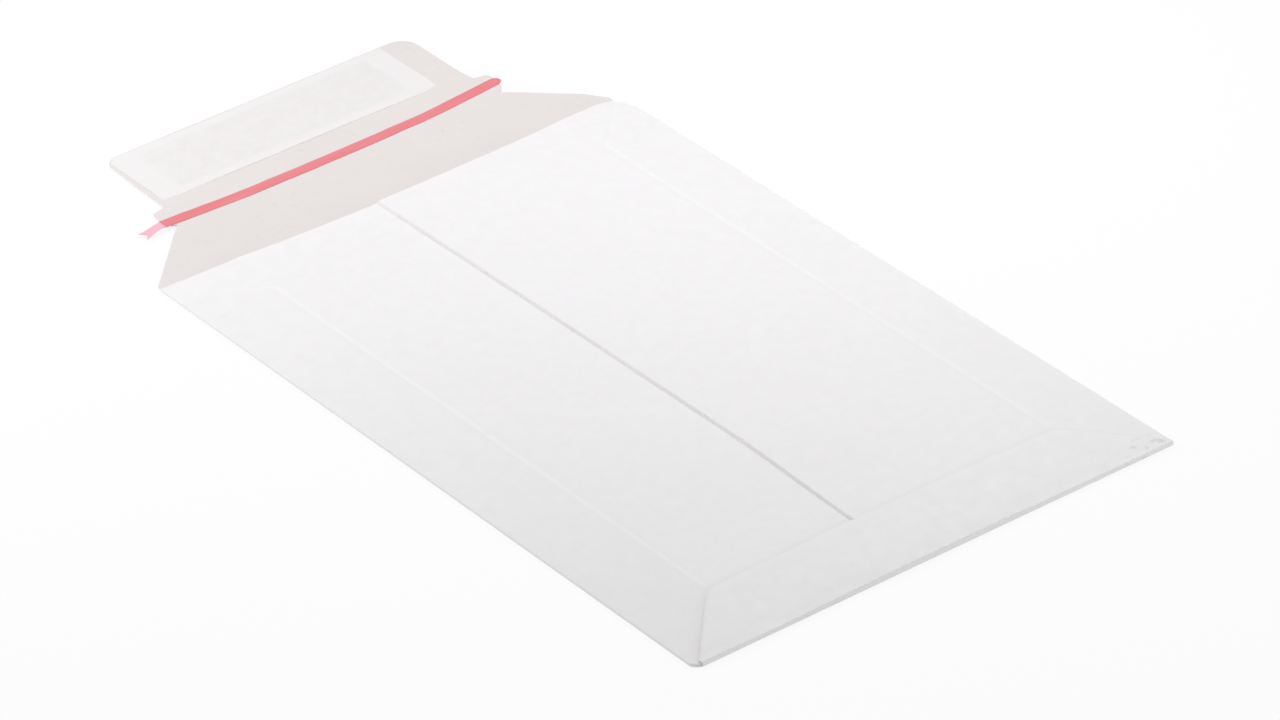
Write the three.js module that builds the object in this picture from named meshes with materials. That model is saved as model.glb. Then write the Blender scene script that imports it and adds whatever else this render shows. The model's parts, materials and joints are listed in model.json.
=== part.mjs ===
import * as THREE from 'three';
import { mergeVertices } from 'three/addons/utils/BufferGeometryUtils.js';

// Board envelope for flat goods, in millimetres, +Z up.
// It lies on its address side with the closing flap laid out flat. The back, with its glued
// centre seam, faces up. While the pieces are made, y is 0 at the base fold and grows towards
// the closing flap, and x is 0 on the centre line.

// Board and outer size
const boardThickness = 0.45;
const envelopeWidth = 152;
const sideEdgeLength = 246;

// Folds
const sideFoldRadius = 0.3;
const baseFoldRun = 1.4;

// Creases that let the back stand up
const sideCreaseInset = 21.4;
const bottomFlapDepth = 22.8;
const upperCreaseDrop = 25;
const creaseRise = 2.65;
const middleRise = 1.9;
const middleRiseRun = 50;
const mouthFlare = 0.1;
const mouthDip = 10.5;

// Centre seam
const seamOverlap = 20;
const seamGlueWidth = 16;
const bottomGlueWidth = 90;
const glueThickness = 0.08;
const glueClearance = 0.04;

// Closing flap: a collar above the side edges, sloped shoulders, a nub on each side at the
// tear line, and a straight-sided tongue with round corners
const collarHeight = 2.2;
const shoulderHeight = 22.2;
const shoulderWidth = 105.6;
const nubWidth = 111.2;
const nubFirstRise = 3;
const nubHeight = 11.3;
const nubShoulder = 1.15;
const neckHeight = 0.7;
const tongueWidth = 102;
const tongueLength = 33.7;
const tongueCornerRadius = 6;

// Tear tape and its pull tab
const tapeWidth = 3.9;
const tapeThickness = 0.12;
const tapeOverhang = 0.8;
const tapeAboveShoulder = 3.85;
const tapeBow = 1;
const tabLength = 7.3;
const tabWidth = 3;
const tabEndWidth = 4.4;
const tabNotch = 1.6;
const tabDroop = 2.3;

// Adhesive and the release liner over it
const linerWidth = 91.7;
const linerLength = 29.6;
const linerThickness = 0.08;
const linerSideMargin = 1.6;
const linerEndMargin = 0.5;
const adhesiveThickness = 0.1;
const adhesiveSideMargin = 7.8;
const adhesiveEndMargin = 3.8;
const stickerClearance = 0.02;

// How finely curves and panels are divided
const foldSteps = 6;
const slopeSteps = 5;
const panelRows = 14;
const panelColumns = 5;
const seamColumns = 2;
const tapeSteps = 14;
const arcSteps = 5;
const weldStep = 0.001;

// Values worked out from the sizes above
const frontMiddle = boardThickness / 2;
const foldedMiddle = frontMiddle + 2 * sideFoldRadius;
const foldLineX = envelopeWidth / 2 - boardThickness / 2 - sideFoldRadius;
const creaseX = envelopeWidth / 2 - sideCreaseInset;
const overlapX = seamOverlap / 2;
const upperCreaseY = sideEdgeLength - upperCreaseDrop;
const layerStep = boardThickness + glueThickness + 2 * glueClearance;
const collarY = sideEdgeLength + collarHeight;
const shoulderY = collarY + shoulderHeight;
const neckY = shoulderY + nubHeight + neckHeight;
const flapEndY = neckY + tongueLength;

const down = new THREE.Vector3(0, 0, -1);
const up = new THREE.Vector3(0, 0, 1);

// Even stations from one value to another, both included
function stations(from, to, steps) {
  return Array.from({ length: steps + 1 }, (_, i) => from + ((to - from) * i) / steps);
}

function joined(...lists) {
  return lists.reduce((all, list) => all.concat(all.length ? list.slice(1) : list), []);
}

function clampedSmooth(value) {
  const t = Math.min(1, Math.max(0, value));
  return t * t * (3 - 2 * t);
}

// Height of the middle of the board in the back panel, before any flap lies over another:
// a slope up from the sides and the base to the creases, then a low crown
function backHeight(x, y) {
  const reach = Math.abs(x);
  const fromSide = (foldLineX - reach) / (foldLineX - creaseX);
  const fromBase = (y - baseFoldRun) / (bottomFlapDepth - baseFoldRun);
  const slope = Math.min(1, fromSide, fromBase);
  const across = Math.max(0, 1 - (x / creaseX) ** 2);
  const along = clampedSmooth((y - bottomFlapDepth) / middleRiseRun);
  const pastCrease = (y - upperCreaseY) / upperCreaseDrop;
  const towardsSide = Math.max(0, reach - creaseX) / (foldLineX - creaseX);
  const flare = Math.max(0, pastCrease - towardsSide);
  return foldedMiddle + creaseRise * slope + middleRise * across * along + mouthFlare * flare;
}

// 1 over the seam, falling to 0 at the side creases
function overSeam(x) {
  return 1 - clampedSmooth((Math.abs(x) - overlapX) / (creaseX - overlapX));
}

const lowerFlapHeight = (x, y) => backHeight(x, y);
const upperFlapHeight = (x, y) => backHeight(x, y) + layerStep * overSeam(x);
const bottomFlapHeight = (x, y) => backHeight(x, y) + layerStep * (1 + overSeam(x));

// The mouth of the pocket is cut as a shallow curve
function mouthY(x) {
  return sideEdgeLength - mouthDip * (1 - (x / foldLineX) ** 2);
}

// The back's rows: close together where it slopes, then evenly up to the upper creases, and
// then bending into the curve of the mouth
const baseRows = stations(baseFoldRun, bottomFlapDepth, slopeSteps);
const lowerRows = joined(baseRows, stations(bottomFlapDepth, upperCreaseY, panelRows));
const mouthRowCount = slopeSteps;
const rowCount = lowerRows.length + mouthRowCount;

function rowY(row, x) {
  if (row < lowerRows.length) {
    return lowerRows[row];
  }
  const share = (row - lowerRows.length + 1) / mouthRowCount;
  return upperCreaseY + (mouthY(x) - upperCreaseY) * share;
}

const seamStations = stations(-overlapX, overlapX, seamColumns);
const panelStations = stations(overlapX, creaseX, panelColumns);
const slopeStations = stations(creaseX, foldLineX, slopeSteps);
const flapStations = joined(seamStations, panelStations, slopeStations);
const outerStations = joined(panelStations, slopeStations);
const baseStations = joined(outerStations.map((x) => -x).reverse(), seamStations, outerStations);

// A sheet of even thickness is kept as points in the middle of the board, each with the
// direction in which one face lies. Points that fall together are one point.
class Sheet {
  constructor(thickness) {
    this.thickness = thickness;
    this.points = [];
    this.faceDirections = [];
    this.triangles = [];
    this.found = new Map();
  }

  point(place, faceDirection) {
    const key = place.toArray().map((value) => Math.round(value / weldStep)).join(' ');
    if (!this.found.has(key)) {
      this.found.set(key, this.points.length);
      this.points.push(place);
      this.faceDirections.push(faceDirection);
    }
    return this.found.get(key);
  }

  // Adds a triangle, turned so that it faces the way its points say
  triangle(a, b, c) {
    const edgeOne = this.points[b].clone().sub(this.points[a]);
    const edgeTwo = this.points[c].clone().sub(this.points[a]);
    const normal = edgeOne.cross(edgeTwo);
    const facing = this.faceDirections[a].clone().add(this.faceDirections[b]).add(this.faceDirections[c]);
    this.triangles.push(normal.dot(facing) > 0 ? [a, b, c] : [a, c, b]);
  }

  // rows is a list of rows of points; risingDiagonal says which way each cell is split
  grid(rows, risingDiagonal = () => true) {
    for (let row = 0; row + 1 < rows.length; row += 1) {
      for (let column = 0; column + 1 < rows[row].length; column += 1) {
        const low = rows[row][column];
        const lowNext = rows[row][column + 1];
        const high = rows[row + 1][column];
        const highNext = rows[row + 1][column + 1];
        if (risingDiagonal(row, column)) {
          this.triangle(low, lowNext, highNext);
          this.triangle(low, highNext, high);
        } else {
          this.triangle(low, lowNext, high);
          this.triangle(lowNext, highNext, high);
        }
      }
    }
  }

  // A flat outline at one height, with its points in order
  flatOutline(outline, z, faceDirection) {
    const ids = outline.map(([x, y]) => this.point(new THREE.Vector3(x, y, z), faceDirection));
    const flat = outline.map(([x, y]) => new THREE.Vector2(x, y));
    for (const [a, b, c] of THREE.ShapeUtils.triangulateShape(flat, [])) {
      this.triangle(ids[a], ids[b], ids[c]);
    }
  }

  // Both faces, and a rim along every edge that only one triangle has
  solid() {
    const count = this.points.length;
    const half = this.thickness / 2;
    const position = [];
    for (const side of [1, -1]) {
      this.points.forEach((place, i) => {
        position.push(...place.clone().addScaledVector(this.faceDirections[i], side * half).toArray());
      });
    }
    const index = [];
    const edges = new Set(this.triangles.flatMap(([a, b, c]) => [`${a} ${b}`, `${b} ${c}`, `${c} ${a}`]));
    for (const [a, b, c] of this.triangles) {
      index.push(a, b, c);
      index.push(a + count, c + count, b + count);
    }
    for (const edge of edges) {
      const [a, b] = edge.split(' ').map(Number);
      if (!edges.has(`${b} ${a}`)) {
        index.push(a, a + count, b + count);
        index.push(a, b + count, b);
      }
    }
    const geometry = new THREE.BufferGeometry();
    geometry.setAttribute('position', new THREE.Float32BufferAttribute(position, 3));
    geometry.setIndex(index);
    return geometry;
  }
}

// One side flap, from its free edge at the seam to its fold, and then the fold itself.
// side is 1 for the right flap and -1 for the left one.
function addSideFlap(sheet, side, height) {
  const rows = [];
  const foldRows = [];
  for (let row = 0; row < rowCount; row += 1) {
    rows.push(flapStations.map((reach) => {
      const x = side * reach;
      const y = rowY(row, reach);
      return sheet.point(new THREE.Vector3(x, y, height(x, y)), up);
    }));
    const y = rowY(row, foldLineX);
    foldRows.push(stations(0, Math.PI, foldSteps).map((angle) => {
      const direction = new THREE.Vector3(side * Math.sin(angle), 0, -Math.cos(angle));
      const centre = new THREE.Vector3(side * foldLineX, y, frontMiddle + sideFoldRadius);
      return sheet.point(centre.addScaledVector(direction, sideFoldRadius), direction);
    }));
  }
  const firstSlopeColumn = flapStations.length - slopeStations.length;
  const falling = (row, column) => row < slopeSteps && column >= firstSlopeColumn;
  sheet.grid(rows, (row, column) => !falling(row, column));
  sheet.grid(foldRows);
}

// The base fold is a flattened curve, thicker in the middle where more layers lie inside it
function addBaseFold(sheet) {
  const runRadius = baseFoldRun - boardThickness / 2;
  const columns = baseStations.map((x) => {
    const top = bottomFlapHeight(x, baseFoldRun);
    const middle = (top + frontMiddle) / 2;
    const heightRadius = (top - frontMiddle) / 2;
    return stations(0, Math.PI, foldSteps).map((angle) => {
      const y = baseFoldRun - runRadius * Math.sin(angle);
      const z = middle - heightRadius * Math.cos(angle);
      const direction = new THREE.Vector3(0, -heightRadius * Math.sin(angle), -runRadius * Math.cos(angle));
      return sheet.point(new THREE.Vector3(x, y, z), direction.normalize());
    });
  });
  sheet.grid(columns);
}

// The bottom flap: full width at the base fold, with its ends cut along the slanted creases
function addBottomFlap(sheet) {
  const place = (x, y) => sheet.point(new THREE.Vector3(x, y, bottomFlapHeight(x, y)), up);
  const inner = baseStations.filter((x) => Math.abs(x) < creaseX + weldStep);
  sheet.grid(baseRows.map((y) => inner.map((x) => place(x, y))));
  for (const side of [1, -1]) {
    const ids = baseRows.map((y) => slopeStations.map((reach) => place(side * reach, y)));
    for (let row = 0; row < slopeSteps; row += 1) {
      for (let column = 0; column < slopeSteps - row; column += 1) {
        sheet.triangle(ids[row][column], ids[row][column + 1], ids[row + 1][column]);
        if (column + 1 < slopeSteps - row) {
          sheet.triangle(ids[row][column + 1], ids[row + 1][column + 1], ids[row + 1][column]);
        }
      }
    }
  }
}

// Right half of the closing flap's outline, from the side edge up to the tongue's end
function closingFlapOutline() {
  const nub = nubWidth / 2;
  const tongue = tongueWidth / 2;
  const cornerX = tongue - tongueCornerRadius;
  const cornerY = flapEndY - tongueCornerRadius;
  const outline = [
    [foldLineX, collarY],
    [shoulderWidth / 2, shoulderY],
    [nub - nubShoulder, shoulderY + nubFirstRise],
    [nub, shoulderY + nubHeight / 2],
    [nub, shoulderY + nubHeight - nubFirstRise],
    [nub - nubShoulder, shoulderY + nubHeight - nubShoulder],
    [nub - 2 * nubShoulder, shoulderY + nubHeight],
    [tongue, neckY],
  ];
  for (const angle of stations(0, Math.PI / 2, arcSteps)) {
    outline.push([cornerX + tongueCornerRadius * Math.cos(angle), cornerY + tongueCornerRadius * Math.sin(angle)]);
  }
  return outline;
}

function foldedBoard() {
  const sheet = new Sheet(boardThickness);
  const rightEdge = stations(0, rowCount - 1, rowCount - 1).map((row) => [foldLineX, rowY(row, foldLineX)]);
  const right = rightEdge.concat(closingFlapOutline());
  const left = right.map(([x, y]) => [-x, y]).reverse();
  const base = baseStations.slice(1, -1).map((x) => [x, baseFoldRun]);
  sheet.flatOutline(base.concat(right, left), frontMiddle, down);
  addSideFlap(sheet, 1, upperFlapHeight);
  addSideFlap(sheet, -1, lowerFlapHeight);
  addBaseFold(sheet);
  addBottomFlap(sheet);
  return sheet.solid();
}

// Glue between the two side flaps, along the whole overlap but for its two ends
function seamGlue() {
  const sheet = new Sheet(glueThickness);
  const above = boardThickness / 2 + glueClearance + glueThickness / 2;
  const rows = [];
  for (let row = 1; row + 1 < rowCount; row += 1) {
    rows.push(stations(-seamGlueWidth / 2, seamGlueWidth / 2, seamColumns).map((x) => {
      const y = rowY(row, x);
      return sheet.point(new THREE.Vector3(x, y, lowerFlapHeight(x, y) + above), up);
    }));
  }
  sheet.grid(rows);
  return sheet.solid();
}

// Glue on the inner side of the bottom flap, in a band short of its edges
function bottomGlue() {
  const sheet = new Sheet(glueThickness);
  const below = boardThickness / 2 + glueClearance + glueThickness / 2;
  const columns = baseStations.filter((x) => Math.abs(x) < bottomGlueWidth / 2);
  const rows = baseRows.slice(1, -1).map((y) => columns.map((x) => {
    return sheet.point(new THREE.Vector3(x, y, bottomFlapHeight(x, y) - below), up);
  }));
  sheet.grid(rows);
  return sheet.solid();
}

// A thin flat piece with its underside at one height
function flatPiece(shape, thickness, underside) {
  const geometry = new THREE.ExtrudeGeometry(shape, { depth: thickness, bevelEnabled: false });
  geometry.deleteAttribute('normal');
  geometry.deleteAttribute('uv');
  geometry.translate(0, 0, underside);
  return mergeVertices(geometry, weldStep);
}

// The tear tape follows a slight bow from nub to nub. Past the left nub it narrows into the
// pull tab, which droops towards the base and ends in a fishtail.
function tearTape() {
  const end = nubWidth / 2 + tapeOverhang;
  const tapeY = shoulderY + tapeAboveShoulder;
  const half = tapeWidth / 2;
  const middleY = (x) => tapeY + tapeBow * (x / end) ** 2;
  const along = stations(-end, end - half, tapeSteps);
  const upper = along.map((x) => new THREE.Vector2(x, middleY(x) + half));
  const lower = along.map((x) => new THREE.Vector2(x, middleY(x) - half));
  const roundEnd = stations(Math.PI / 2, -Math.PI / 2, 2 * arcSteps).slice(1, -1).map((angle) => {
    const centreX = end - half;
    return new THREE.Vector2(centreX + half * Math.cos(angle), middleY(centreX) + half * Math.sin(angle));
  });
  const tipX = -end - tabLength;
  const tipY = middleY(-end) - tabDroop;
  const rootX = -end - (tapeWidth - tabWidth) / 2;
  const tab = [
    new THREE.Vector2(rootX, middleY(-end) - tabWidth / 2),
    new THREE.Vector2(tipX, tipY - tabEndWidth / 2),
    new THREE.Vector2(tipX + tabNotch, tipY),
    new THREE.Vector2(tipX, tipY + tabEndWidth / 2),
    new THREE.Vector2(rootX, middleY(-end) + tabWidth / 2),
  ];
  const shape = new THREE.Shape([...upper, ...roundEnd, ...lower.reverse(), ...tab]);
  return flatPiece(shape, tapeThickness, boardThickness + stickerClearance);
}

function rectangle(left, low, right, high) {
  return new THREE.Shape([
    new THREE.Vector2(left, low),
    new THREE.Vector2(right, low),
    new THREE.Vector2(right, high),
    new THREE.Vector2(left, high),
  ]);
}

const linerLeft = -tongueWidth / 2 + linerSideMargin;
const linerTop = flapEndY - linerEndMargin;
const linerBottom = linerTop - linerLength;
const adhesiveUnderside = boardThickness + stickerClearance;
const linerUnderside = adhesiveUnderside + adhesiveThickness + stickerClearance;

function adhesiveStrip() {
  const shape = rectangle(
    linerLeft + adhesiveSideMargin,
    linerBottom + adhesiveEndMargin,
    linerLeft + linerWidth - adhesiveSideMargin,
    linerTop - adhesiveEndMargin,
  );
  return flatPiece(shape, adhesiveThickness, adhesiveUnderside);
}

function releaseLiner() {
  const shape = rectangle(linerLeft, linerBottom, linerLeft + linerWidth, linerTop);
  return flatPiece(shape, linerThickness, linerUnderside);
}

function finish(color, roughness) {
  return new THREE.MeshStandardMaterial({ color, roughness, metalness: 0 });
}

const envelope = new THREE.Group();

function addPiece(name, geometry, material) {
  const mesh = new THREE.Mesh(geometry, material);
  mesh.name = name;
  mesh.position.y = -flapEndY / 2;
  envelope.add(mesh);
}

addPiece('folded_board', foldedBoard(), finish(0xf0eff1, 0.7));
addPiece('centre_seam_glue', seamGlue(), finish(0xe6dfcf, 0.5));
addPiece('bottom_flap_glue', bottomGlue(), finish(0xe6dfcf, 0.5));
addPiece('tear_tape', tearTape(), finish(0xed8890, 0.35));
addPiece('adhesive_strip', adhesiveStrip(), finish(0xe9e4da, 0.45));
addPiece('release_liner', releaseLiner(), finish(0xecebea, 0.6));

export default envelope;
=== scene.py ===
import json
import math

import bpy
from mathutils import Matrix, Vector, noise

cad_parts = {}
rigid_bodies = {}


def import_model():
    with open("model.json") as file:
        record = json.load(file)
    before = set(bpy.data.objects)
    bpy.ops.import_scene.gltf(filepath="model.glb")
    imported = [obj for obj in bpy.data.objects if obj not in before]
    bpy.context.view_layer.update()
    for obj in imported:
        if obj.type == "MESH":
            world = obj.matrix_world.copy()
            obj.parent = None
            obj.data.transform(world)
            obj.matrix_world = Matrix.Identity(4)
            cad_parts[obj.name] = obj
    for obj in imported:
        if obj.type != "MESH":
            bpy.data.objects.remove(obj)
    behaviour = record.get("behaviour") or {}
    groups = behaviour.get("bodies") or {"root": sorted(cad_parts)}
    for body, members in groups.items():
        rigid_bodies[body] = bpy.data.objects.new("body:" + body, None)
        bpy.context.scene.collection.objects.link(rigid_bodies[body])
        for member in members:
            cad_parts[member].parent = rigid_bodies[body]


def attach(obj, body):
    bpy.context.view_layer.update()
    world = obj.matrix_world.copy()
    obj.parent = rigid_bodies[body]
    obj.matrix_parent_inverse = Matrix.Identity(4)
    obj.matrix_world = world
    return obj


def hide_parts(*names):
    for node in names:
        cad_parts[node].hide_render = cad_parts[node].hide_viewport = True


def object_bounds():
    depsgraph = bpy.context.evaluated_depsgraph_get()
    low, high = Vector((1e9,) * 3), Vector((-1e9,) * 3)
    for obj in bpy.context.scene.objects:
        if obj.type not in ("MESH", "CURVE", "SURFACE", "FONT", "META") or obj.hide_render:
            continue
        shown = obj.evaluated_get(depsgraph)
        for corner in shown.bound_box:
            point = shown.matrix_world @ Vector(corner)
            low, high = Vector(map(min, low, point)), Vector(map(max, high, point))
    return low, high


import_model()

# Sizes are in millimetres as on a die maker's drawing: x from the centre line, y from the
# base fold towards the closing flap, z up from the table. Meshes are turned to metres last.
mm = 0.001
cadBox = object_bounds()
baseLine = cadBox[0][1]
drawingShift = Vector((0, baseLine, 0))


def smoothStep(value):
    t = min(1, max(0, value))
    return t * t * (3 - 2 * t)


def steps(start, end, count):
    return [start + (end - start) * i / count for i in range(count + 1)]


def softLowest(values, softness):
    lowest = min(values)
    total = sum(math.exp(-(value - lowest) / softness) for value in values)
    return lowest - softness * math.log(total)


def roughness(x, y, scale, seed):
    return noise.noise(Vector((x * scale, y * scale, seed)))


board = {
    "thickness": 0.45,
    "width": 152,
    "sideEdge": 246,
    "sideFold": 0.3,             # radius of a side fold, in the middle of the board
    "baseRun": 1.4,
    "baseReach": 0.5,            # how far the base fold's middle stands out from its two creases
    "basePress": {"pocket": 0.12, "layers": 0.16, "reach": 5},    # pressed flatter by the base fold
    "creaseInset": 21.4,
    "flapDepth": 22.8,
    "upperDrop": 25,             # the creases turn out to the mouth's corners this far below them
    "creaseRise": 2.65,
    "middleRise": 1.9,
    "middleRun": 50,
    "mouthFlare": 0.1,
    "mouthDip": 9.8,
    "mouthCornerRound": 3.0,
    "overlap": 20,
    "seamTurn": {"base": 0.7, "mouth": -0.9},    # how far the seam's cut edge is off square
    "glue": 0.08,
    "glueGap": 0.04,
    "waviness": 0.1,
    "rippleShare": 0.4,
    "cutFray": {"mouth": 0.12, "seam": 0.08},
    "crease": 0.025,             # softness of the creases
    "grooveDepth": 0.085,
    "grooveWidth": 1.0,
    "cutRound": 0.1,             # how far the cut edge bulges
    "seamPress": {"out": 0.62, "up": -0.34},    # how far the cut edges that lie on board are crushed
    "flapPress": {"out": 0.5, "up": 0.04},
    "pressZone": {"seam": 2, "flap": 1, "upward": 0.3},    # where a cut edge counts as one of those
    "closeRows": 5,              # the rows stand closer up to here
}
frontMiddle = board["thickness"] / 2
foldedMiddle = frontMiddle + 2 * board["sideFold"]
foldX = board["width"] / 2 - board["thickness"] / 2 - board["sideFold"]
creaseX = board["width"] / 2 - board["creaseInset"]
overlapX = board["overlap"] / 2
upperY = board["sideEdge"] - board["upperDrop"]
layerStep = board["thickness"] + board["glue"] + 2 * board["glueGap"]

closing = {
    "collar": 2.2,
    "shoulderRise": 22.2,
    "nubRise": 11.3,
    "nubSwell": 6.5,
    "neckRise": 0.7,
    "tongueRise": 33.7,
    "left": {"shoulder": 54.1, "shoulderUp": 1.3, "nub": 56.5, "nubUp": 0, "nubCorner": 2.3,
             "tongue": 51.4, "taper": 1.1, "corner": 4.5, "curl": 0.7},
    "right": {"shoulder": 51.6, "shoulderUp": -0.7, "nub": 55.2, "nubUp": -1.0, "nubCorner": 2.0,
              "tongue": 51.4, "taper": 0, "corner": 6, "curl": 1.3},
    "curlPlace": {"inner": 26, "run": 34, "pastShoulder": 4, "beforeNeck": 5, "fade": 12},
}
collarY = board["sideEdge"] + closing["collar"]
shoulderY = collarY + closing["shoulderRise"]
neckY = shoulderY + closing["nubRise"] + closing["neckRise"]
endY = neckY + closing["tongueRise"]


bottomFlap = {
    "left": {"corner": 55.6, "round": 2.4, "end": 74.0},
    "right": {"corner": 54.6, "round": 5.0, "end": foldX},
    "bend": 0.1,                 # softness of the turn at its corners
    "gape": {"height": 0.2, "inset": 8, "run": 26},    # its left end stands open a little
    "rows": 12,
}


# How far the back stands up

def creaseDistance(x, y):
    reach = abs(x)
    if y <= upperY:
        return abs(reach - creaseX)
    across = foldX - creaseX
    along = board["sideEdge"] - upperY
    return abs((reach - creaseX) * along - (y - upperY) * across) / math.hypot(across, along)


def byBase(y):
    return 1 - smoothStep((y - board["baseRun"]) / board["basePress"]["reach"])


def layerRise(y):
    return layerStep - board["basePress"]["layers"] * byBase(y)


def backHeight(x, y):
    reach = abs(x)
    fromSide = (foldX - reach) / (foldX - creaseX)
    fromBase = (y - board["baseRun"]) / (board["flapDepth"] - board["baseRun"])
    slope = max(0, softLowest([1, fromSide, fromBase], board["crease"]))
    across = max(0, 1 - (x / creaseX) ** 2)
    along = smoothStep((y - board["flapDepth"]) / board["middleRun"])
    pastCrease = (y - upperY) / board["upperDrop"] - max(0, reach - creaseX) / (foldX - creaseX)
    height = foldedMiddle + board["creaseRise"] * slope + board["middleRise"] * across * along
    height += board["mouthFlare"] * max(0, pastCrease) - board["basePress"]["pocket"] * byBase(y)
    wave = roughness(x, y, scale=0.018, seed=3)
    wave += board["rippleShare"] * roughness(x, y, scale=0.05, seed=8)
    return height + board["waviness"] * wave * slope


def groove(x, y):
    return -board["grooveDepth"] * math.exp(-(creaseDistance(x, y) / board["grooveWidth"]) ** 2)


def overSeam(x):
    return 1 - smoothStep((abs(x) - overlapX) / (creaseX - overlapX))


def lowerFlapHeight(x, y):
    return backHeight(x, y) + groove(x, y)


def upperFlapHeight(x, y):
    return backHeight(x, y) + groove(x, y) + layerRise(y) * overSeam(x)


def bottomFlapHeight(x, y):
    gape = bottomFlap["gape"]
    lift = gape["height"] * smoothStep((-x - creaseX + gape["inset"]) / gape["run"])
    return backHeight(x, y) + layerRise(y) * (1 + overSeam(x)) + lift


def mouthY(x):
    y = board["sideEdge"] - board["mouthDip"] * (1 - (x / foldX) ** 2)
    cornerStart = foldX - board["mouthCornerRound"]
    if x > cornerStart:
        inward = min(1, (x - cornerStart) / board["mouthCornerRound"])
        y -= board["mouthCornerRound"] * (1 - math.sqrt(max(0, 1 - inward ** 2)))
    return y + board["cutFray"]["mouth"] * roughness(x, 0, scale=0.2, seed=5)


def flapLift(x, y):
    curl = closing["curlPlace"]
    rise = smoothStep((abs(x) - curl["inner"]) / curl["run"])
    before = smoothStep((y - collarY) / (shoulderY + curl["pastShoulder"] - collarY))
    after = 1 - smoothStep((y - neckY + curl["beforeNeck"]) / curl["fade"])
    return closing["right" if x > 0 else "left"]["curl"] * rise * before * after


# A sheet is a list of points in the middle of the board, each with the way one face lies

sharpAngle = math.radians(40)


def newSheet(thickness):
    return {"thickness": thickness, "places": [], "faceWays": [], "found": {}, "triangles": []}


def sheetPoint(sheet, place, faceWay):
    key = tuple(round(value * 1000) for value in place)
    if key not in sheet["found"]:
        sheet["found"][key] = len(sheet["places"])
        sheet["places"].append(Vector(place))
        sheet["faceWays"].append(Vector(faceWay))
    return sheet["found"][key]


def sheetTriangle(sheet, a, b, c):
    if a == b or b == c or c == a:
        return
    places = sheet["places"]
    normal = (places[b] - places[a]).cross(places[c] - places[a])
    facing = sheet["faceWays"][a] + sheet["faceWays"][b] + sheet["faceWays"][c]
    sheet["triangles"].append((a, b, c) if normal.dot(facing) > 0 else (a, c, b))


def sheetGrid(sheet, rows):
    for row in range(len(rows) - 1):
        for column in range(len(rows[row]) - 1):
            low, lowNext = rows[row][column], rows[row][column + 1]
            high, highNext = rows[row + 1][column], rows[row + 1][column + 1]
            sheetTriangle(sheet, low, lowNext, highNext)
            sheetTriangle(sheet, low, highNext, high)


def plainRim(place, outward):
    return place


def sheetObject(name, sheet, wearPlace=None, rimPlace=plainRim):
    places, ways, half = sheet["places"], sheet["faceWays"], sheet["thickness"] / 2
    if wearPlace:
        places = [wearPlace(place) for place in places]
    count = len(places)
    corners = [place + way * half for place, way in zip(places, ways)]
    corners += [place - way * half for place, way in zip(places, ways)]
    faces = []
    slots = []
    edges = set()
    for a, b, c in sheet["triangles"]:
        faces += [(a, b, c), (a + count, c + count, b + count)]
        slots += [0, 1]
        edges.update([(a, b), (b, c), (c, a)])
    rim = sorted(edge for edge in edges if (edge[1], edge[0]) not in edges)
    outward = {}
    for a, b in rim:
        push = (places[b] - places[a]).cross(ways[a] + ways[b])
        for end in (a, b):
            outward[end] = outward.get(end, Vector()) + push.normalized()
    ringIndex = {}
    for end in sorted(outward):
        ringIndex[end] = len(corners)
        corners.append(rimPlace(places[end], outward[end].normalized()))
    for a, b in rim:
        faces.append((a, ringIndex[a], ringIndex[b], b))
        faces.append((ringIndex[a], a + count, b + count, ringIndex[b]))
        slots += [2, 2]
    mesh = bpy.data.meshes.new(name)
    mesh.from_pydata([corner * mm + drawingShift for corner in corners], [], faces)
    mesh.update()
    piece = bpy.data.objects.new(name, mesh)
    bpy.context.collection.objects.link(piece)
    mesh.polygons.foreach_set("material_index", slots)
    mesh.polygons.foreach_set("use_smooth", [True] * len(faces))
    mesh.set_sharp_from_angle(angle=sharpAngle)
    return piece


# Stations: close at the creases, wider over the panels

slopeShares = [0, 0.015, 0.035, 0.06, 0.1] + steps(0.1, 1, count=20)[1:]
slopeStations = [creaseX + (foldX - creaseX) * share for share in slopeShares]
panelStations = steps(overlapX, creaseX - 1.6, count=16) + [creaseX - 1, creaseX - 0.5, creaseX - 0.25]
seamStations = steps(-overlapX, overlapX, count=10)
flapStations = seamStations + panelStations[1:] + slopeStations
outerStations = panelStations + slopeStations
baseStations = [-x for x in reversed(outerStations)] + seamStations[1:] + outerStations[1:]
bottomStations = [x for x in baseStations if x > -bottomFlap["left"]["end"]]
lowerRows = steps(board["baseRun"], board["closeRows"], count=5)
lowerRows += steps(board["closeRows"], upperY - 1.6, count=70)[1:] + [upperY - 0.8]
frontYs = lowerRows + [upperY + (board["sideEdge"] - upperY) * share for share in slopeShares]
foldAngles = steps(0, math.pi, count=10)


def rowYs(x):
    return lowerRows + [upperY + (mouthY(x) - upperY) * share for share in slopeShares]


def seamTurn(reach, y):
    ends = board["seamTurn"]
    nearEdge = max(0, 1 - (reach + overlapX) / board["overlap"])
    turn = ends["base"] + (ends["mouth"] - ends["base"]) * (y / board["sideEdge"]) ** 2
    return nearEdge * (turn + board["cutFray"]["seam"] * roughness(3, y, scale=0.09, seed=21))


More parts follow.
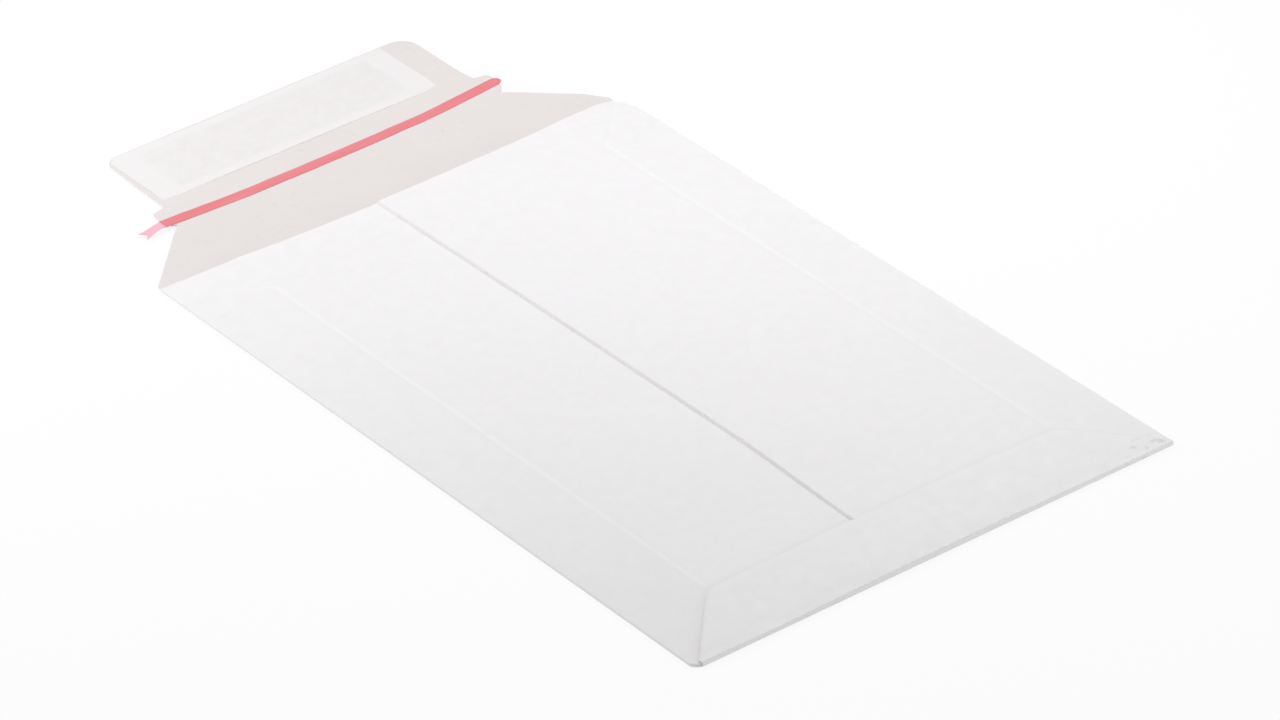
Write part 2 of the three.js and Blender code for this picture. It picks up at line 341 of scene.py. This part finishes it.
def addSideFlap(sheet, side, height):
    columns = []
    for reach in flapStations:
        column = []
        for y in rowYs(side * reach):
            x = side * (reach + (seamTurn(reach, y) if side > 0 else 0))
            column.append(sheetPoint(sheet, (x, y, height(x, y)), (0, 0, 1)))
        columns.append(column)
    sheetGrid(sheet, columns)
    flapYs = rowYs(side * foldX)
    rows = []
    for flapY, frontY in zip(flapYs, frontYs):
        row = []
        for angle in foldAngles:
            way = Vector((side * math.sin(angle), 0, -math.cos(angle)))
            y = frontY + (flapY - frontY) * smoothStep(angle / math.pi)
            centre = Vector((side * foldX, y, frontMiddle + board["sideFold"]))
            row.append(sheetPoint(sheet, centre + way * board["sideFold"], way))
        row[-1] = sheetPoint(sheet, (side * foldX, flapY, height(side * foldX, flapY)), (0, 0, 1))
        rows.append(row)
    sheetGrid(sheet, rows)


def addBaseFold(sheet):
    run = board["baseReach"]
    columns = []
    for x in bottomStations:
        top = bottomFlapHeight(x, board["baseRun"])
        rise = (top - frontMiddle) / 2
        column = []
        for angle in foldAngles:
            y = board["baseRun"] - run * math.sin(angle)
            place = (x, y, frontMiddle + rise - rise * math.cos(angle))
            way = Vector((0, -rise * math.sin(angle), -run * math.cos(angle))).normalized()
            column.append(sheetPoint(sheet, place, way))
        columns.append(column)
    sheetGrid(sheet, columns)


def bottomFlapTop(x):
    side = bottomFlap["right" if x > 0 else "left"]

    def bend(reach):             # a rounded corner between two straights
        past = (reach - side["corner"]) / side["round"]
        return past + math.sqrt(past ** 2 + bottomFlap["bend"])

    share = min(1, bend(abs(x)) / bend(side["end"]))
    return board["flapDepth"] - (board["flapDepth"] - board["baseRun"]) * share


def addBottomFlap(sheet):
    columns = []
    for x in bottomStations:
        top = bottomFlapTop(x)
        ys = steps(board["baseRun"], top, bottomFlap["rows"])
        columns.append([sheetPoint(sheet, (x, y, bottomFlapHeight(x, y)), (0, 0, 1)) for y in ys])
    sheetGrid(sheet, columns)


# The closing flap's outline on one side, as (y, half width), from the side edge to the tongue's end

def closingRows(side):
    shoulder, nub, corner = side["shoulder"], side["nub"], side["nubCorner"]
    lowY = shoulderY + side["shoulderUp"]
    rows = [(collarY, foldX)]
    for share in steps(0, 1, count=12)[1:]:
        rows.append((collarY + (lowY - collarY) * share, foldX + (shoulder - foldX) * share))
    for angle in steps(0, math.pi / 2, count=8)[1:]:
        swell = (closing["nubSwell"] - side["shoulderUp"]) * (1 - math.cos(angle))
        rows.append((lowY + swell, shoulder + (nub - shoulder) * math.sin(angle)))
    nubTop = shoulderY + closing["nubRise"] + side["nubUp"]
    for angle in steps(0, math.pi / 2, count=6):
        y = nubTop - corner + corner * math.sin(angle)
        rows.append((y, nub - corner + corner * math.cos(angle)))
    rows.append((neckY + side["nubUp"], side["tongue"]))
    return rows


def tongueRows(side):
    corner, longest = side["corner"], closing["right"]["corner"]
    neck = neckY + side["nubUp"]
    ys = steps(neck, endY - longest, count=14)[1:]
    ys += [endY - longest + longest * math.sin(angle) for angle in steps(0, math.pi / 2, count=9)[1:]]
    rows = []
    for y in ys:
        inward = max(0, y - (endY - corner)) / corner
        half = side["tongue"] - side["taper"] * (y - neck) / (endY - neck)
        rows.append((y, half - corner * (1 - math.sqrt(max(0, 1 - inward ** 2)))))
    return rows


def addFront(sheet):
    outlines = []
    for side in (closing["left"], closing["right"]):
        outlines.append([(y, foldX) for y in frontYs] + closingRows(side) + tongueRows(side))
    rows = []
    for (leftY, leftHalf), (rightY, rightHalf) in zip(*outlines):
        row = []
        for station in baseStations:
            x = station / foldX * (rightHalf if station > 0 else leftHalf)
            y = leftY + (rightY - leftY) * (station + foldX) / (2 * foldX)
            row.append(sheetPoint(sheet, (x, y, frontMiddle + flapLift(x, y)), (0, 0, -1)))
        rows.append(row)
    sheetGrid(sheet, rows)


wear = {
    "leftBlunt": 3.4,            # the left base corner is cut off by this much, the right one barely
    "rightBlunt": 0.8,
    "bluntShare": 0.45,          # the share that x takes, and y
    "fray": 0.25,
    "mouthReach": 10,            # the right mouth corner is pressed in over this distance
    "mouthPush": (-2.2, -1.6),
}


def wornPlace(place):
    worn = Vector(place)
    for side, blunt in ((-1, wear["leftBlunt"]), (1, wear["rightBlunt"])):
        spare = board["width"] / 2 - side * place.x + place.y
        push = wear["bluntShare"] * max(0, blunt - spare)
        worn.x -= side * push
        worn.y += push
        worn.z += wear["fray"] * roughness(place.x, place.y, scale=0.9, seed=2) * push
    fromCorner = math.hypot(place.x - board["width"] / 2, place.y - board["sideEdge"])
    near = 1 - fromCorner / wear["mouthReach"]
    if near > 0:
        worn.x += wear["mouthPush"][0] * near
        worn.y += wear["mouthPush"][1] * near
    return worn


def boardRim(place, outward):
    zone = board["pressZone"]
    onSeam = abs(place.x + overlapX) < zone["seam"] and place.z > foldedMiddle + layerStep
    onFlap = place.y < board["flapDepth"] + zone["flap"] and outward.y > zone["upward"]
    if onSeam or (onFlap and place.z > foldedMiddle):
        press = board["seamPress" if onSeam else "flapPress"]
        return place + outward * press["out"] + Vector((0, 0, press["up"]))
    return place + outward * board["cutRound"]


def makeBoard():
    sheet = newSheet(board["thickness"])
    addFront(sheet)
    addSideFlap(sheet, 1, upperFlapHeight)
    addSideFlap(sheet, -1, lowerFlapHeight)
    addBaseFold(sheet)
    addBottomFlap(sheet)
    return sheetObject("foldedBoardSkin", sheet, wornPlace, boardRim)


glueFilm = {
    "seamHalf": 8,
    "seamStart": 6,
    "mouthMargin": 5,
    "bottomHalf": 36,
    "bottomStart": 5.5,
    "bottomEnd": 17.9,
}
fromFace = board["thickness"] / 2 + board["glueGap"] + board["glue"] / 2


def makeSeamGlue():
    sheet = newSheet(board["glue"])
    columns = []
    for x in steps(-glueFilm["seamHalf"], glueFilm["seamHalf"], count=6):
        ys = steps(glueFilm["seamStart"], mouthY(x) - glueFilm["mouthMargin"], count=60)
        columns.append([sheetPoint(sheet, (x, y, backHeight(x, y) + fromFace), (0, 0, 1)) for y in ys])
    sheetGrid(sheet, columns)
    return sheetObject("seamGlueFilm", sheet)


def makeBottomGlue():
    sheet = newSheet(board["glue"])
    columns = []
    for x in steps(-glueFilm["bottomHalf"], glueFilm["bottomHalf"], count=40):
        column = []
        for y in steps(glueFilm["bottomStart"], glueFilm["bottomEnd"], count=8):
            column.append(sheetPoint(sheet, (x, y, bottomFlapHeight(x, y) - fromFace), (0, 0, 1)))
        columns.append(column)
    sheetGrid(sheet, columns)
    return sheetObject("bottomGlueFilm", sheet)


tape = {
    "width": 3.9,
    "thickness": 0.12,
    "overhang": 0.8,
    "aboveShoulder": 3.25,
    "bow": 1.0,
    "tilt": 0.008,
    "endHalf": 0.35,             # half the width that is left at the round end
    "fray": {"edge": 0.1, "line": 0.12},
    "tabRoot": 0.8,              # how far past the tape's end the pull tab starts
    "tabLength": 7.3,
    "tabWidth": 3.0,
    "tabEndWidth": 4.4,
    "tabNotch": 1.6,
    "tabDroop": 1.3,
    "tabTipZ": 0.75,
    "tabTwist": 0.1,
    "gap": 0.02,
}


def makeTape():
    sheet = newSheet(tape["thickness"])
    leftEnd = -closing["left"]["nub"] - tape["overhang"]
    rightEnd = closing["right"]["nub"] + tape["overhang"]
    half = tape["width"] / 2
    across = steps(-1, 1, count=8)
    lift = board["thickness"] + tape["gap"] + tape["thickness"] / 2

    def middleY(x):
        return shoulderY + tape["aboveShoulder"] + tape["bow"] * (x / rightEnd) ** 2 + tape["tilt"] * x

    def topZ(x, y):
        inside = max(-closing["left"]["nub"], min(closing["right"]["nub"], x))
        return lift + flapLift(inside, y)

    columns = []
    tabHalf, tabEndHalf = tape["tabWidth"] / 2, tape["tabEndWidth"] / 2
    rootX = leftEnd - tape["tabRoot"]

    # the pull tab, from its fishtail inwards
    for share in steps(1, 0, count=10):
        column = []
        for t in across:
            outer = leftEnd - tape["tabLength"] + tape["tabNotch"] * (1 - abs(t))
            width = tabHalf + (tabEndHalf - tabHalf) * share ** 2
            y = middleY(leftEnd) + t * width - tape["tabDroop"] * share ** 1.3
            root = topZ(leftEnd, y)
            z = root + (tape["tabTipZ"] - root) * smoothStep(share * 1.1) - tape["tabTwist"] * share * t
            column.append(sheetPoint(sheet, (rootX + (outer - rootX) * share, y, z), (0, 0, 1)))
        columns.append(column)

    # the tape itself, to its round right end
    roundAngles = steps(0, math.pi / 2, count=7)[1:]
    mainXs = steps(leftEnd, rightEnd - half, count=90)
    mainXs += [rightEnd - half + half * math.sin(angle) for angle in roundAngles]
    for x in mainXs:
        past = max(0, x - (rightEnd - half))
        width = max(tape["endHalf"], math.sqrt(max(0, half ** 2 - past ** 2)))
        width += tape["fray"]["edge"] * roughness(x, 1, scale=0.25, seed=4)
        column = []
        for t in across:
            y = middleY(x) + t * width + tape["fray"]["line"] * roughness(x, 7, scale=0.12, seed=6)
            column.append(sheetPoint(sheet, (x, y, topZ(x, y)), (0, 0, 1)))
        columns.append(column)
    sheetGrid(sheet, columns)
    return sheetObject("tearTapeFilm", sheet)


liner = {
    "width": 91.7,
    "length": 29.6,
    "thickness": 0.06,
    "sideMargin": 2.0,
    "endMargin": 0.5,
    "gap": 0.01,
    "adhesive": 0.12,
    "adhesiveSide": 7.8,
    "adhesiveEnd": 3.8,
    "stepRun": 3,                # how far the liner takes to step up onto the adhesive
    "cornerInset": 0.4,          # how far the round corner stays inside the flap's
    "cockle": 0.05,
    "fineCockle": 0.03,
    "edgeLift": 0.015,
    "edgeReach": 2,
    "edgeFray": {"side": 0.15, "end": 0.2},
}
linerLeft = -closing["left"]["tongue"] + liner["sideMargin"]
linerTop = endY - liner["endMargin"]
linerBottom = linerTop - liner["length"]


def linerZ(x, y):
    fromSides = min(x - linerLeft, linerLeft + liner["width"] - x)
    fromEnds = min(y - linerBottom, linerTop - y)
    margin = min(fromSides, fromEnds)
    run = liner["stepRun"]
    overGlue = smoothStep((fromSides - liner["adhesiveSide"]) / run + 0.5)
    overGlue *= smoothStep((fromEnds - liner["adhesiveEnd"]) / run + 0.5)
    wrinkle = liner["cockle"] * (0.5 + 0.5 * roughness(x, y, scale=0.11, seed=9))
    wrinkle += liner["fineCockle"] * roughness(x, y, scale=0.45, seed=12) * overGlue
    loose = (1 - overGlue) * (0.5 + 0.5 * roughness(x, y, scale=0.06, seed=14))
    edge = liner["edgeLift"] * loose * math.exp(-margin / liner["edgeReach"])
    z = board["thickness"] + liner["gap"] + liner["thickness"] / 2
    z += (liner["adhesive"] + liner["gap"] * 2) * overGlue
    return z + max(0, wrinkle) * smoothStep(margin / run) + edge


def linerPlace(x, y):
    corner = closing["left"]["corner"]
    centreX = closing["left"]["taper"] + corner - closing["left"]["tongue"]
    centreY = endY - corner
    reach = math.hypot(x - centreX, y - centreY)
    if x < centreX and y > centreY and reach > corner - liner["cornerInset"]:
        share = (corner - liner["cornerInset"]) / reach
        return centreX + (x - centreX) * share, centreY + (y - centreY) * share
    return x, y


def makeLiner():
    sheet = newSheet(liner["thickness"])
    rows = []
    for y in steps(linerBottom, linerTop, count=44):
        row = []
        for x in steps(linerLeft, linerLeft + liner["width"], count=120):
            edgeX, edgeY = linerPlace(x, y)
            edgeX += liner["edgeFray"]["side"] * roughness(x, y, scale=0.07, seed=15)
            edgeY += liner["edgeFray"]["end"] * roughness(x, y, scale=0.05, seed=16)
            row.append(sheetPoint(sheet, (edgeX, edgeY, linerZ(x, y)), (0, 0, 1)))
        rows.append(row)
    sheetGrid(sheet, rows)
    return sheetObject("releaseLinerSheet", sheet)


# Materials

def newMaterial(name):
    material = bpy.data.materials.new(name)
    material.use_nodes = True
    tree = material.node_tree
    return material, tree, tree.nodes["Principled BSDF"]


def objectPlace(tree):
    return tree.nodes.new("ShaderNodeTexCoord").outputs["Object"]


def addNoise(tree, place, scale, detail, rough=0.55, stretch=None):
    texture = tree.nodes.new("ShaderNodeTexNoise")
    texture.inputs["Scale"].default_value = scale
    texture.inputs["Detail"].default_value = detail
    texture.inputs["Roughness"].default_value = rough
    if stretch:
        mapping = tree.nodes.new("ShaderNodeMapping")
        mapping.inputs["Scale"].default_value = stretch
        tree.links.new(place, mapping.inputs["Vector"])
        place = mapping.outputs["Vector"]
    tree.links.new(place, texture.inputs["Vector"])
    return texture.outputs["Fac"]


def feed(tree, socket, value):   # a socket takes a number, a colour or another node's output
    if isinstance(value, (int, float)):
        socket.default_value = value
    elif isinstance(value, tuple):
        socket.default_value = (*value, 1)
    else:
        tree.links.new(value, socket)


def addMath(tree, operation, *values):
    node = tree.nodes.new("ShaderNodeMath")
    node.operation = operation
    for socket, value in zip(node.inputs, values):
        feed(tree, socket, value)
    return node.outputs[0]


def addRange(tree, value, low, high, toLow=0.0, toHigh=1.0):
    node = tree.nodes.new("ShaderNodeMapRange")
    node.interpolation_type = "SMOOTHSTEP"
    for name, amount in (("From Min", low), ("From Max", high), ("To Min", toLow), ("To Max", toHigh)):
        node.inputs[name].default_value = amount
    tree.links.new(value, node.inputs["Value"])
    return node.outputs["Result"]


def addMix(tree, share, first, second):
    node = tree.nodes.new("ShaderNodeMix")
    node.data_type = "RGBA"
    for number, value in ((0, share), (6, first), (7, second)):    # 6 and 7 are the mixed colours
        feed(tree, node.inputs[number], value)
    return node.outputs[2]


def addBump(tree, height, distance, strength, after=None):
    node = tree.nodes.new("ShaderNodeBump")
    node.inputs["Distance"].default_value = distance
    node.inputs["Strength"].default_value = strength
    tree.links.new(height, node.inputs["Height"])
    if after:
        tree.links.new(after, node.inputs["Normal"])
    return node.outputs["Normal"]


# How near a point is to a spot on the drawing, 1 there and 0 past its reach along x and y

def nearSpot(tree, place, mark):
    x, y = mark["spot"]
    reachX, reachY = mark["reach"]
    mapping = tree.nodes.new("ShaderNodeMapping")
    mapping.vector_type = "TEXTURE"
    mapping.inputs["Location"].default_value = (x * mm, y * mm + baseLine, 0)
    mapping.inputs["Scale"].default_value = (reachX * mm, reachY * mm, 1)
    tree.links.new(place, mapping.inputs["Vector"])
    length = tree.nodes.new("ShaderNodeVectorMath")
    length.operation = "LENGTH"
    tree.links.new(mapping.outputs["Vector"], length.inputs[0])
    return addRange(tree, length.outputs["Value"], 1.0, 0.15)


whiteFace = {
    "colour": (0.889, 0.876, 0.888),
    "cloud": (0.869, 0.856, 0.868),
    # the next two are a painted highlight and a painted shade along the creases
    "paintedCreaseLight": (0.912, 0.900, 0.912),
    "paintedCreaseShade": (0.866, 0.853, 0.866),
    "scuff": (0.62, 0.60, 0.61),
    "smudge": (0.79, 0.77, 0.79),
    "roughness": 0.52,
    "specular": 0.35,
    "paintedCreaseLines": (                   # painted highlight and painted shade along each crease, an offset being to its right
        {"tint": "paintedCreaseLight", "offset": 0.1, "half": 1.0},
        {"tint": "paintedCreaseShade", "offset": -1.3, "half": 0.9},
    ),
    "edgeWear": {"band": 1.1, "strength": 0.1},
    "cornerWear": {"spot": (68, 1.5), "reach": (15, 8), "strength": 0.6},
    "marks": (                   # from handling, by the left side fold
        {"spot": (-71.5, 221.5), "reach": (4.2, 1.6), "strength": 0.3},
        {"spot": (-64, 223), "reach": (1.6, 1.0), "strength": 0.2},
    ),
}


def whiteFaceMaterial():
    material, tree, shader = newMaterial("boardWhiteFace")
    place = objectPlace(tree)
    split = tree.nodes.new("ShaderNodeSeparateXYZ")
    tree.links.new(place, split.inputs[0])
    across = addMath(tree, "ABSOLUTE", split.outputs["X"])
    clouds = addRange(tree, addNoise(tree, place, scale=260, detail=5, rough=0.66), 0.32, 0.68)
    colour = addMix(tree, clouds, whiteFace["colour"], whiteFace["cloud"])

    # painted highlight along the side creases, each with a painted shade line to its left: the light
    # and shade of a groove lit from the left
    pastUpper = addMath(tree, "SUBTRACT", split.outputs["Y"], upperY * mm + baseLine)
    pastUpper = addMath(tree, "MAXIMUM", pastUpper, 0)
    outwards = addMath(tree, "MULTIPLY", pastUpper, (foldX - creaseX) / board["upperDrop"])
    fromCrease = addMath(tree, "SUBTRACT", across, creaseX * mm)
    fromCrease = addMath(tree, "SUBTRACT", fromCrease, outwards)
    side = addMath(tree, "SIGN", split.outputs["X"])
    fromCrease = addMath(tree, "MULTIPLY", fromCrease, side)
    flapEdge = board["flapDepth"] * mm + baseLine
    abovePress = addRange(tree, split.outputs["Y"], flapEdge, flapEdge + 4 * mm)
    broken = addRange(tree, addNoise(tree, place, scale=380, detail=3), 0.38, 0.58, 0.4, 1.1)
    strength = addRange(tree, pastUpper, 0, 4 * mm, 1, 0.15)
    strength = addMath(tree, "MULTIPLY", strength, abovePress)
    strength = addMath(tree, "MULTIPLY", strength, broken)
    for line in whiteFace["paintedCreaseLines"]:
        away = addMath(tree, "SUBTRACT", fromCrease, line["offset"] * mm)
        away = addMath(tree, "ABSOLUTE", away)
        share = addMath(tree, "MULTIPLY", addRange(tree, away, line["half"] * mm, 0), strength)
        colour = addMix(tree, share, colour, whiteFace[line["tint"]])

    # the clay coat wears through to grey along the side folds and by the right base corner
    foldEdge = board["width"] / 2
    edgeWear = whiteFace["edgeWear"]
    edgeNear = addRange(tree, across, (foldEdge - edgeWear["band"]) * mm, foldEdge * mm)
    flecks = addNoise(tree, place, scale=520, detail=3, rough=0.6, stretch=(1, 0.35, 1))
    worn = addMath(tree, "MULTIPLY", edgeNear, addRange(tree, flecks, 0.58, 0.72))
    worn = addMath(tree, "MULTIPLY", worn, edgeWear["strength"])
    colour = addMix(tree, worn, colour, whiteFace["scuff"])
    cornerWear = whiteFace["cornerWear"]
    scratches = addNoise(tree, place, scale=420, detail=3, rough=0.6, stretch=(0.7, 1.3, 1))
    scratches = addRange(tree, scratches, 0.48, 0.64)
    scuffed = addMath(tree, "MULTIPLY", nearSpot(tree, place, cornerWear), scratches)
    scuffed = addMath(tree, "MULTIPLY", scuffed, cornerWear["strength"])
    colour = addMix(tree, scuffed, colour, whiteFace["scuff"])

    for mark in whiteFace["marks"]:
        share = addMath(tree, "MULTIPLY", nearSpot(tree, place, mark), mark["strength"])
        colour = addMix(tree, share, colour, whiteFace["smudge"])
    tree.links.new(colour, shader.inputs["Base Color"])

    felt = addNoise(tree, place, scale=240, detail=4)
    smooth, rough = whiteFace["roughness"] - 0.05, whiteFace["roughness"] + 0.07
    tree.links.new(addRange(tree, felt, 0.3, 0.7, smooth, rough), shader.inputs["Roughness"])
    normal = addBump(tree, felt, distance=0.09 * mm, strength=0.5)
    fine = addNoise(tree, place, scale=1500, detail=2)
    normal = addBump(tree, fine, distance=0.03 * mm, strength=0.4, after=normal)
    tree.links.new(normal, shader.inputs["Normal"])
    shader.inputs["Specular IOR Level"].default_value = whiteFace["specular"]
    return material


greyFace = {
    "colour": (0.765, 0.724, 0.710),
    "cloud": (0.752, 0.709, 0.694),
    "fleck": (0.715, 0.668, 0.650),
    "pale": (0.786, 0.748, 0.734),
    "roughness": 0.82,
    "specular": 0.25,
}
# the cut edge's own colour with painted light: paler than the grey face, so the cut edges read as lit
cutFacePaintedLight = {
    "colour": (0.85, 0.835, 0.84),
    "cloud": (0.82, 0.805, 0.81),
    "fleck": (0.74, 0.715, 0.71),
    "pale": (0.875, 0.865, 0.87),
    "roughness": 0.85,
    "specular": 0.25,
}


def greyFaceMaterial(name, tint):
    material, tree, shader = newMaterial(name)
    place = objectPlace(tree)
    clouds = addRange(tree, addNoise(tree, place, scale=60, detail=4), 0.35, 0.68)
    colour = addMix(tree, clouds, tint["colour"], tint["cloud"])
    fibres = addNoise(tree, place, scale=900, detail=3, rough=0.6, stretch=(1, 0.3, 1))
    colour = addMix(tree, addRange(tree, fibres, 0.6, 0.75), colour, tint["fleck"])
    pale = addNoise(tree, place, scale=700, detail=3, rough=0.6, stretch=(0.3, 1, 1))
    colour = addMix(tree, addRange(tree, pale, 0.62, 0.78), colour, tint["pale"])
    tree.links.new(colour, shader.inputs["Base Color"])
    felt = addNoise(tree, place, scale=420, detail=5)
    tree.links.new(addBump(tree, felt, distance=0.12 * mm, strength=0.6), shader.inputs["Normal"])
    smooth, rough = tint["roughness"] - 0.06, tint["roughness"] + 0.08
    tree.links.new(addRange(tree, felt, 0.3, 0.7, smooth, rough), shader.inputs["Roughness"])
    shader.inputs["Specular IOR Level"].default_value = tint["specular"]
    return material


tapeFinish = {
    "red": ((0.83, 0.235, 0.262), (0.80, 0.205, 0.232)),
    "pink": ((0.88, 0.50, 0.60), (0.86, 0.46, 0.56)),
    "roughness": 0.34,
}


def tapeMaterial(name, colours):
    material, tree, shader = newMaterial(name)
    place = objectPlace(tree)
    bands = addNoise(tree, place, scale=130, detail=3, rough=0.5, stretch=(0.4, 2.0, 1))
    bands = addRange(tree, bands, 0.3, 0.7)
    tree.links.new(addMix(tree, bands, *colours), shader.inputs["Base Color"])
    ripple = addNoise(tree, place, scale=350, detail=4)
    smooth, rough = tapeFinish["roughness"] - 0.05, tapeFinish["roughness"] + 0.1
    tree.links.new(addRange(tree, ripple, 0.3, 0.7, smooth, rough), shader.inputs["Roughness"])
    tree.links.new(addBump(tree, ripple, distance=0.06 * mm, strength=0.35), shader.inputs["Normal"])
    return material


linerFinish = {
    "paper": (0.848, 0.828, 0.828),
    "overGlue": (0.832, 0.81, 0.806),
    "mottle": (0.805, 0.778, 0.775),
    "mottleStrength": 0.75,
    "roughness": 0.42,
}


def linerMaterial():
    material, tree, shader = newMaterial("linerPaper")
    place = objectPlace(tree)
    split = tree.nodes.new("ShaderNodeSeparateXYZ")
    tree.links.new(place, split.inputs[0])
    centreX = linerLeft + liner["width"] / 2
    centreY = (linerBottom + linerTop) / 2
    halfX = liner["width"] / 2 - liner["adhesiveSide"]
    halfY = liner["length"] / 2 - liner["adhesiveEnd"]
    fromX = addMath(tree, "SUBTRACT", split.outputs["X"], centreX * mm)
    fromX = addMath(tree, "ABSOLUTE", fromX)
    fromY = addMath(tree, "SUBTRACT", split.outputs["Y"], centreY * mm + baseLine)
    fromY = addMath(tree, "ABSOLUTE", fromY)
    inX = addRange(tree, fromX, (halfX + 1.6) * mm, (halfX - 1.2) * mm)
    inY = addRange(tree, fromY, (halfY + 1.6) * mm, (halfY - 1.2) * mm)
    overGlue = addMath(tree, "MULTIPLY", inX, inY)
    colour = addMix(tree, overGlue, linerFinish["paper"], linerFinish["overGlue"])
    blotches = addRange(tree, addNoise(tree, place, scale=260, detail=4, rough=0.7), 0.42, 0.62)
    blotches = addMath(tree, "MULTIPLY", blotches, overGlue)
    blotches = addMath(tree, "MULTIPLY", blotches, linerFinish["mottleStrength"])
    colour = addMix(tree, blotches, colour, linerFinish["mottle"])
    tree.links.new(colour, shader.inputs["Base Color"])
    crinkle = addNoise(tree, place, scale=320, detail=4)
    tree.links.new(addBump(tree, crinkle, distance=0.1 * mm, strength=0.4), shader.inputs["Normal"])
    smooth, rough = linerFinish["roughness"] - 0.06, linerFinish["roughness"] + 0.08
    tree.links.new(addRange(tree, crinkle, 0.3, 0.7, smooth, rough), shader.inputs["Roughness"])
    return material


glueFinish = {
    "dried": {"colour": (0.85, 0.81, 0.72), "roughness": 0.5},
    "tacky": {"colour": (0.85, 0.82, 0.76), "roughness": 0.4},
    "streakShade": 0.88,
}


def glueMaterial(name, finish):
    material, tree, shader = newMaterial(name)
    place = objectPlace(tree)
    streaks = addNoise(tree, place, scale=180, detail=4, rough=0.6, stretch=(1, 0.3, 1))
    darker = tuple(part * glueFinish["streakShade"] for part in finish["colour"])
    tree.links.new(addMix(tree, streaks, finish["colour"], darker), shader.inputs["Base Color"])
    tree.links.new(addBump(tree, streaks, distance=0.1 * mm, strength=0.5), shader.inputs["Normal"])
    shader.inputs["Roughness"].default_value = finish["roughness"]
    return material


# Pieces and what they ride on

def settle(piece, materials, node):
    for material in materials:
        piece.data.materials.append(material)
    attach(piece, "root")
    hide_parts(node)


white = whiteFaceMaterial()
grey = greyFaceMaterial("boardGreyFace", greyFace)
# the cut edges get the paler grey, painted light
cutEdgePaintedLight = greyFaceMaterial("boardCutEdgePaintedLight", cutFacePaintedLight)
print("materials made")

settle(makeBoard(), [white, grey, cutEdgePaintedLight], "folded_board")
print("board folded")

glue = glueMaterial("driedGlue", glueFinish["dried"])
settle(makeSeamGlue(), [glue] * 3, "centre_seam_glue")
settle(makeBottomGlue(), [glue] * 3, "bottom_flap_glue")
print("glue films laid")

tapePiece = makeTape()
red = tapeMaterial("tapeRed", tapeFinish["red"])
pink = tapeMaterial("tapeTabPink", tapeFinish["pink"])
settle(tapePiece, [red, red, red, pink], "tear_tape")
tabX = -(closing["left"]["nub"] + tape["overhang"]) * mm
for face in tapePiece.data.polygons:
    if face.center.x < tabX:
        face.material_index = 3
print("tape stuck on")

paper = linerMaterial()
settle(makeLiner(), [paper] * 3, "release_liner")
adhesive = glueMaterial("tackyAdhesive", glueFinish["tacky"])
for piece in bpy.data.objects:
    if piece.name.startswith("adhesive_strip"):
        for materialSlot in piece.material_slots:
            materialSlot.link = "OBJECT"
            materialSlot.material = adhesive
print("liner laid over the adhesive")


# Floor, light and camera

studio = {
    "floorSize": 8.0,
    "floorDrop": 0.0002,
    "floorBounce": 0.95,
    "floorSeen": 0.93,
    "floorGlow": 0.88,
    "floorRoughness": 0.9,
    "world": 0.57,
    "lamps": {
        "leftBox": {"place": (-0.250, 0.354, 0.280), "size": 0.16, "watts": 0.93},
        "rightBox": {"place": (0.190, 0.030, 0.300), "size": 0.12, "watts": 0.4},
        "frontBox": {"place": (0.300, -0.600, 0.140), "size": 0.2, "watts": 0.42},
    },
}


def makeFloor():
    size = studio["floorSize"] / 2
    z = cadBox[0][2] - studio["floorDrop"]
    mesh = bpy.data.meshes.new("floor")
    corners = [(-size, -size, z), (size, -size, z), (size, size, z), (-size, size, z)]
    mesh.from_pydata(corners, [], [(0, 1, 2, 3)])
    floor = bpy.data.objects.new("floor", mesh)
    bpy.context.collection.objects.link(floor)
    material, tree, shader = newMaterial("paleFloor")
    shader.inputs["Roughness"].default_value = studio["floorRoughness"]
    shader.inputs["Specular IOR Level"].default_value = 0.0
    shader.inputs["Emission Color"].default_value = (1, 1, 1, 1)
    rays = tree.nodes.new("ShaderNodeLightPath")
    seen = addMath(tree, "MAXIMUM", rays.outputs["Is Camera Ray"], rays.outputs["Is Glossy Ray"])
    seen = addMath(tree, "MAXIMUM", seen, rays.outputs["Is Transmission Ray"])
    bounce = (studio["floorBounce"],) * 3
    lit = (studio["floorSeen"] * (1 - studio["floorGlow"]),) * 3
    tree.links.new(addMix(tree, seen, bounce, lit), shader.inputs["Base Color"])
    glow = addMath(tree, "MULTIPLY", seen, studio["floorGlow"])
    tree.links.new(glow, shader.inputs["Emission Strength"])
    floor.data.materials.append(material)


def makeLight():
    world = bpy.data.worlds.new("studioAir")
    bpy.context.scene.world = world
    world.use_nodes = True
    background = world.node_tree.nodes["Background"]
    background.inputs["Color"].default_value = (1, 1, 1, 1)
    background.inputs["Strength"].default_value = studio["world"]
    for name, box in studio["lamps"].items():
        lampData = bpy.data.lights.new(name, "AREA")
        lampData.shape = "SQUARE"
        lampData.size = box["size"]
        lampData.energy = box["watts"]
        lamp = bpy.data.objects.new(name, lampData)
        lamp.location = box["place"]
        lamp.rotation_euler = (-lamp.location).to_track_quat("-Z", "Y").to_euler()
        bpy.context.collection.objects.link(lamp)


view = {
    "place": (-0.91432, -1.44099, 1.03223),
    "aim": (-0.00092, -0.02940, 0.0),
    "roll": -5.339,              # degrees
    "lens": 211.11,
    "sensor": 36,
}


def makeCamera():
    cameraData = bpy.data.cameras.new("camera")
    cameraData.lens = view["lens"]
    cameraData.sensor_width = view["sensor"]
    camera = bpy.data.objects.new("camera", cameraData)
    place = Vector(view["place"])
    turn = (Vector(view["aim"]) - place).to_track_quat("-Z", "Y").to_matrix().to_4x4()
    roll = Matrix.Rotation(math.radians(view["roll"]), 4, "Z")
    camera.matrix_world = Matrix.Translation(place) @ turn @ roll
    bpy.context.collection.objects.link(camera)
    bpy.context.scene.camera = camera


makeFloor()
makeLight()
makeCamera()
bpy.context.scene.view_settings.view_transform = "Standard"
print("studio ready")
